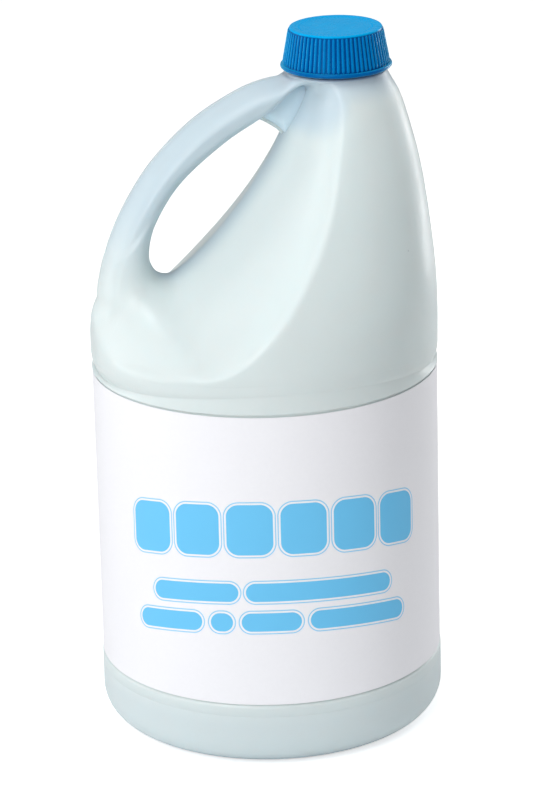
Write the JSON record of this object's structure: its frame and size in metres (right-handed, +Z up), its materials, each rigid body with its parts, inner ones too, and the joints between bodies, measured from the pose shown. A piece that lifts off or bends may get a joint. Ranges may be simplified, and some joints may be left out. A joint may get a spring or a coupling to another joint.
{
  "type": "bleach bottle",
  "caption": "Blow-moulded household bleach bottle with a hollow loop handle, an off-centre neck, a ribbed screw cap and a plain wrap label.",
  "frame": {"origin": "centre of the standing ring, on the surface the bottle stands on", "axes": "+Z up, the handle at -X, the neck and cap towards +X, the mould's parting plane at Y = 0"},
  "size_m": [0.1404, 0.1404, 0.2861],
  "materials": {
    "bottle_plastic": "satin",
    "cap_plastic": "satin",
    "liner_foam": "matte",
    "label_film": "satin"
  },
  "bodies": {
    "jug": {"bottle": "bottle_plastic", "label": "label_film"},
    "liner": {"cap_liner": "liner_foam"},
    "cap": {"screw_cap": "cap_plastic"}
  },
  "joints": [
    {"name": "cap_lift", "type": "slide", "parent": "jug", "child": "liner", "axis": [0, 0, 1], "range_m": [0, 0.0148]},
    {"name": "cap_turn", "type": "hinge", "parent": "liner", "child": "cap", "pos_m": [0.03201, 0, 0.27], "axis": [0, 0, 1], "range_deg": [0, 1250]}
  ],
  "couplings": [
    {"joint": "cap_lift", "follows": "cap_turn", "m_per_rad": 0.000673}
  ]
}
